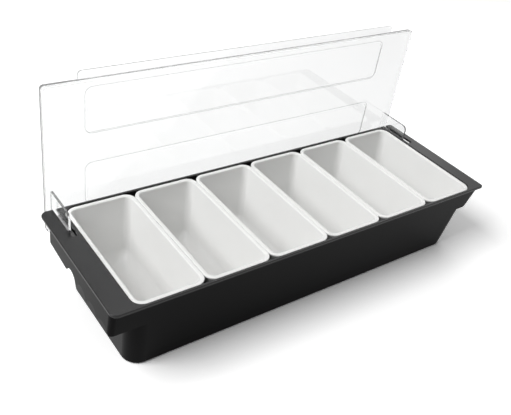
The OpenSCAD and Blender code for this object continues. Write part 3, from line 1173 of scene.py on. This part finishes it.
@dataclass
class Lid:
    """Clear lid, drawn open: a shallow tray with raised panels, a tab and ears."""

    material: bpy.types.Material
    pivot: tuple[float, float] = PIVOT_YZ
    plate_in: float = 90.9
    plate_t: float = 2.2
    rim_h: float = 4.3
    rim_t: float = 2.2
    corner: float = 4.0
    top: float = 226.2
    panel_h: float = 1.2
    panel_half: float = 199.0
    panel_w: float = 51.0
    panel_tops: tuple[float, float] = (216.2, 131.2)
    panel_corner: float = 8.0
    tab_half: float = 207.0
    tab_reach: float = 9.0
    tab_t: float = 1.5
    stop_half: float = 219.5
    stop_t: float = 2.4
    stop_front: float = 76.7
    ear_x: float = 235.5
    ear_t: float = 2.6
    ear_front: float = 47.1
    ear_top: float = 108.0
    ear_front_h: float = 24.0
    ear_corner: float = 6.0
    ear_sunk: float = 0.6
    ear_edge: float = 0.35
    eye_r: float = 8.0
    bore_r: float = 3.05
    swing_r: float = 20.84
    edge: float = 0.6
    steps: int = 8
    half_x: float = field(init=False)
    bottom: float = field(init=False)

    def __post_init__(self) -> None:
        """Reads the lid's reach from the frame."""
        low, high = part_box("lid")
        self.half_x = high.x / MM
        self.bottom = low.z / MM

    def stood(self, bm: bmesh.types.BMesh, middle: float) -> bmesh.types.BMesh:
        """Stands a form up that was drawn flat.

        Args:
            bm: A form whose level is its depth towards +Y, drawn about its own middle.
            middle: Height of that middle.

        Returns:
            The same mesh.
        """
        bmesh.ops.rotate(
            bm, cent=(0, 0, 0), matrix=Matrix.Rotation(math.radians(-90), 3, "X"), verts=bm.verts
        )
        bmesh.ops.scale(bm, vec=(1, 1, -1), verts=bm.verts)
        bmesh.ops.translate(bm, vec=(0, 0, middle), verts=bm.verts)
        turn_outwards(bm)
        return bm

    def tray(self) -> bmesh.types.BMesh:
        """Plate with its rim."""
        half_z = (self.top - self.bottom) / 2
        outer = DraftedForm(self.half_x, half_z, self.corner, 0, 0, 0)
        inner = DraftedForm(
            self.half_x - self.rim_t, half_z - self.rim_t, self.corner - self.rim_t / 2, 0, 0, 0
        )
        free, inside = self.plate_in - self.rim_h, self.plate_in
        outside = self.plate_in + self.plate_t
        e = self.edge

        def out(inset: float, level: float) -> Section:
            """Section of the tray's outside."""
            return outer.at(level, inset)

        def inn(inset: float, level: float) -> Section:
            """Section of the tray's inside."""
            return inner.at(level, inset)

        sections = list(reversed(edge_arc(out, (e + 0.3, outside - e - 0.3), e + 0.3, (0, 90), 4)))
        sections += list(reversed(edge_arc(out, (e, free + e), e, (-90, 0), 3)))
        sections += edge_arc(inn, (-0.4, free + 0.4), -0.4, (90, 0), 2)
        sections += edge_arc(inn, (0.8, inside - 0.8), 0.8, (0, 90), 3)
        return self.stood(loft(sections, self.steps), (self.top + self.bottom) / 2)

    def panel(self, top: float, recess: bool) -> bmesh.types.BMesh:
        """One raised panel, or the recess behind it."""
        cut = self.plate_t if recess else 0.0
        form = DraftedForm(
            self.panel_half - cut, self.panel_w / 2 - cut, self.panel_corner - cut / 2, 0, 0, 0
        )
        start = self.plate_in - 1 if recess else self.plate_in + self.plate_t - 1
        end = self.plate_in + self.panel_h + (0 if recess else self.plate_t)

        def out(inset: float, level: float) -> Section:
            """Section of the panel."""
            return form.at(level, inset)

        sections = [form.at(start), *edge_arc(out, (0.7, end - 0.7), 0.7, (0, 90), 3)]
        return self.stood(loft(sections, self.steps), top - self.panel_w / 2)

    def tab(self) -> bmesh.types.BMesh:
        """Finger tab along the lid's front edge."""
        form = DraftedForm(self.tab_half, self.tab_reach, self.tab_reach / 2, 0, 0, 0)
        start = self.plate_in + 0.05
        end = self.plate_in + self.tab_t

        def out(inset: float, level: float) -> Section:
            """Section of the tab."""
            return form.at(level, inset)

        sections = edge_arc(out, (0.4, start + 0.4), 0.4, (-90, 0), 2)
        sections += edge_arc(out, (0.4, end - 0.4), 0.4, (0, 90), 2)
        return self.stood(loft(sections, self.steps), self.top)

    def ear(self, side: int) -> bmesh.types.BMesh:
        """One ear with its eye, drawn as an outline of y and z and given its thickness."""
        y, z = self.pivot
        bm = bmesh.new()
        low_front = self.ear_top - self.ear_front_h
        back = self.plate_in + self.ear_sunk

        def eye(degrees: float) -> tuple[float, float]:
            """Point under the pivot on the eye's round, turned from straight ahead."""
            a = math.radians(degrees)
            return y - self.eye_r * math.cos(a), z - self.eye_r * math.sin(a)

        outline_face(
            bm,
            [
                (self.ear_front, self.ear_top),
                (self.ear_front, low_front),
                eye(40),
                (y - self.eye_r * 0.25, z - self.eye_r * 1.05),
                (eye(120)[0], eye(120)[1] - 0.3),
                (back, self.bottom + self.corner),
                (back, self.ear_top),
            ],
            0.0,
        )
        round_corner(bm, (self.ear_front, self.ear_top), self.ear_corner, 8)
        round_corner(bm, (self.ear_front, low_front), 1.0, 3)
        face = next(f for f in bm.faces)
        made = bmesh.ops.extrude_face_region(bm, geom=[face])["geom"]
        grown = [g for g in made if isinstance(g, bmesh.types.BMVert)]
        bmesh.ops.translate(bm, vec=(0, 0, self.ear_t), verts=grown)
        turn = Matrix(((0, 0, 1), (1, 0, 0), (0, 1, 0)))
        bmesh.ops.rotate(bm, cent=(0, 0, 0), matrix=turn, verts=bm.verts)
        bmesh.ops.translate(bm, vec=(side * self.ear_x - self.ear_t / 2, 0, 0), verts=bm.verts)
        turn_outwards(bm)
        free = [
            e for e in bm.edges
            if all(v.co.y < self.plate_in - 2 for v in e.verts)
            and abs(e.verts[0].co.x - e.verts[1].co.x) < 0.01
        ]
        round_edges(bm, free, self.ear_edge)
        return bm

    def build(self) -> None:
        """Fuses the lid into one clear moulding and dresses it."""
        across = (-self.half_x - 5, self.half_x + 5)
        piece = as_object("lid_moulding", self.tray())
        for top in self.panel_tops:
            combine(piece, self.panel(top, recess=False), Cut.ONTO)
            combine(piece, self.panel(top, recess=True), Cut.AWAY)
        combine(piece, rod_x(self.swing_r, across, self.pivot, 180), Cut.AWAY)
        combine(piece, self.tab(), Cut.ONTO)
        combine(
            piece,
            block(
                (-self.stop_half, self.stop_front, self.bottom + 0.01),
                (self.stop_half, self.plate_in + 1, self.bottom + self.stop_t),
                0.4,
            ),
            Cut.ONTO,
        )
        for side in (-1, 1):
            combine(piece, self.ear(side), Cut.ONTO)
        combine(piece, rod_x(self.bore_r, across, self.pivot, 64), Cut.AWAY)
        finish_mesh(piece, 30)
        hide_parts("lid")
        dress(piece, self.material, "lid")


# ---------------------------------------------------------------------------
# Studio
# ---------------------------------------------------------------------------


@dataclass(frozen=True)
class Softbox:
    """A square lamp aimed at the caddy."""

    name: str
    towards: tuple[float, float, float]
    distance: float
    size: float
    level: float

    def build(self, aim: Vector) -> None:
        """Hangs the lamp; level is how brightly it alone lights a white card facing it."""
        data = bpy.data.lights.new(self.name, "AREA")
        data.shape = "SQUARE"
        data.size = self.size
        data.energy = self.level * math.pi**2 * self.distance**2
        lamp = bpy.data.objects.new(self.name, data)
        way = Vector(self.towards).normalized()
        lamp.location = aim + way * self.distance
        lamp.rotation_mode = "QUATERNION"
        lamp.rotation_quaternion = way.to_track_quat("Z", "Y")
        bpy.context.scene.collection.objects.link(lamp)
        log.info("softbox %s", self.name)


def eye_rays(tree: bpy.types.NodeTree, path: bpy.types.Node) -> bpy.types.NodeSocket:
    """Marks what the eye sees straight, in gloss or through glass.

    Args:
        tree: The shader's node tree.
        path: Its Light Path node.

    Returns:
        A socket that is 1 for such rays and 0 for scattered light.
    """
    found = path.outputs["Is Camera Ray"]
    for kind in ("Is Glossy Ray", "Is Transmission Ray"):
        most = tree.nodes.new("ShaderNodeMath")
        most.operation = "MAXIMUM"
        tree.links.new(found, most.inputs[0])
        tree.links.new(path.outputs[kind], most.inputs[1])
        found = most.outputs[0]
    unscattered = tree.nodes.new("ShaderNodeMath")
    unscattered.operation = "LESS_THAN"
    unscattered.inputs[1].default_value = 0.5
    tree.links.new(path.outputs["Diffuse Depth"], unscattered.inputs[0])
    both = tree.nodes.new("ShaderNodeMath")
    both.operation = "MULTIPLY"
    tree.links.new(found, both.inputs[0])
    tree.links.new(unscattered.outputs[0], both.inputs[1])
    return both.outputs[0]


@dataclass
class Studio:
    """Pale floor, white surroundings, softboxes and the camera."""

    ambient: float = 0.33
    floor_half: float = 6.0
    floor_colour: float = 0.95
    cloud_mm: float = 900.0
    camera_gain: float = 0.24
    glass_gain: float = 0.14
    fade: tuple[float, float] = (0.75, 1.7)
    focal_px: float = 690.333
    yaw_deg: float = 40.941
    pitch_deg: float = 34.981
    roll_deg: float = 9.767
    stand: tuple[float, float, float] = (-446.28, -464.33, 520.98)
    softboxes: tuple[Softbox, ...] = (
        Softbox("softbox_left", (-0.68, 0.08, 0.73), 4.0, 2.2, 0.84),
        Softbox("softbox_back", (0.46, 0.56, 0.69), 1.7, 1.35, 0.17),
    )

    def floor_finish(self) -> bpy.types.Material:
        """Pale matt floor that shows lighter to the eye than it lights, and fades to white."""
        n = Nodes("pale_floor")
        path = n.add("ShaderNodeLightPath")
        direct = eye_rays(n.tree, path)
        gain = n.add("ShaderNodeMath", operation="ADD")
        n.link(n.multiplied(direct, self.glass_gain, 1.0), gain.inputs[0])
        n.link(n.multiplied(path.outputs["Is Camera Ray"], self.camera_gain, 0.0), gain.inputs[1])
        low, high = (self.floor_colour * share for share in (0.995, 1.005))
        cloud = n.blend(n.noise(self.cloud_mm, 2), (low,) * 3, (high,) * 3)
        shown = n.add("ShaderNodeVectorMath", operation="SCALE")
        n.link(cloud, shown.inputs[0])
        n.link(gain.outputs[0], shown.inputs["Scale"])
        matt = n.add("ShaderNodeBsdfDiffuse")
        n.link(shown.outputs[0], matt.inputs["Color"])
        reach = n.add("ShaderNodeVectorMath", operation="LENGTH")
        n.link(n.place, reach.inputs[0])
        fade = n.add("ShaderNodeMapRange", interpolation_type="SMOOTHSTEP")
        fade.inputs["From Min"].default_value = self.fade[0]
        fade.inputs["From Max"].default_value = self.fade[1]
        n.link(reach.outputs["Value"], fade.inputs["Value"])
        far = n.add("ShaderNodeMath", operation="MULTIPLY")
        n.link(fade.outputs["Result"], far.inputs[0])
        n.link(direct, far.inputs[1])
        mix = n.add("ShaderNodeMixShader")
        n.link(far.outputs[0], mix.inputs[0])
        n.link(matt.outputs["BSDF"], mix.inputs[1])
        n.link(n.add("ShaderNodeEmission").outputs["Emission"], mix.inputs[2])
        return n.output(mix.outputs["Shader"])

    def floor(self) -> None:
        """Lays the floor that keeps the caddy's shadow."""
        bm = bmesh.new()
        bmesh.ops.create_grid(bm, x_segments=8, y_segments=8, size=self.floor_half)
        mesh = bpy.data.meshes.new("studio_floor")
        bm.to_mesh(mesh)
        bm.free()
        piece = bpy.data.objects.new("studio_floor", mesh)
        bpy.context.scene.collection.objects.link(piece)
        mesh.materials.append(self.floor_finish())
        piece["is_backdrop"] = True

    def surroundings(self) -> None:
        """World that lights evenly and shows white to the camera, to gloss and through glass."""
        world = bpy.data.worlds.new("studio_world")
        bpy.context.scene.world = world
        world.use_nodes = True
        tree = world.node_tree
        tree.nodes.clear()
        path = tree.nodes.new("ShaderNodeLightPath")
        lit = tree.nodes.new("ShaderNodeBackground")
        lit.inputs["Color"].default_value = (1, 1, 1, 1)
        lit.inputs["Strength"].default_value = self.ambient
        shown = tree.nodes.new("ShaderNodeBackground")
        shown.inputs["Color"].default_value = (1, 1, 1, 1)
        shown.inputs["Strength"].default_value = 1.0
        mix = tree.nodes.new("ShaderNodeMixShader")
        out = tree.nodes.new("ShaderNodeOutputWorld")
        tree.links.new(eye_rays(tree, path), mix.inputs[0])
        tree.links.new(lit.outputs[0], mix.inputs[1])
        tree.links.new(shown.outputs[0], mix.inputs[2])
        tree.links.new(mix.outputs[0], out.inputs["Surface"])

    def camera(self) -> None:
        """Camera that stands where the photograph was taken from."""
        yaw, pitch, roll = (math.radians(a) for a in (self.yaw_deg, self.pitch_deg, self.roll_deg))
        ahead = Vector(
            (math.sin(yaw) * math.cos(pitch), math.cos(yaw) * math.cos(pitch), -math.sin(pitch))
        )
        right = Vector((math.cos(yaw), -math.sin(yaw), 0))
        up = right.cross(ahead)
        right_rolled = math.cos(roll) * right + math.sin(roll) * up
        up_rolled = -math.sin(roll) * right + math.cos(roll) * up
        data = bpy.data.cameras.new("photo_camera")
        data.sensor_fit = "HORIZONTAL"
        data.sensor_width = SENSOR_MM
        data.lens = SENSOR_MM * self.focal_px / PHOTO_WIDTH_PX
        data.clip_start, data.clip_end = 0.01, 50
        shooter = bpy.data.objects.new("photo_camera", data)
        turn = Matrix((right_rolled, up_rolled, -ahead)).transposed().to_4x4()
        shooter.matrix_world = Matrix.Translation(Vector(self.stand) * MM) @ turn
        bpy.context.scene.collection.objects.link(shooter)
        bpy.context.scene.camera = shooter

    def build(self) -> None:
        """Sets up everything that isn't the caddy."""
        self.camera()
        self.surroundings()
        self.floor()
        low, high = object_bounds()
        for box in self.softboxes:
            box.build((low + high) / 2)
        bpy.context.scene.view_settings.view_transform = "Standard"
        log.info("studio ready")


def main() -> None:
    """Builds the studio and the caddy, piece by piece."""
    logging.basicConfig(level=logging.INFO, format="%(name)s: %(message)s", force=True)
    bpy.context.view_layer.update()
    Studio().build()
    Tub(DECK_FINISH.material(), SHADED_SHELL_FINISH.material()).build()
    white = INSERT_FINISH.material()
    for number in range(1, 7):
        Insert(number, white).build()
    pin = PIN_FINISH.material()
    HingePin("hinge_pin_left", -1, pin).build()
    HingePin("hinge_pin_right", 1, pin).build()
    Lid(LID_FINISH.material()).build()


if __name__ == "__main__":
    main()
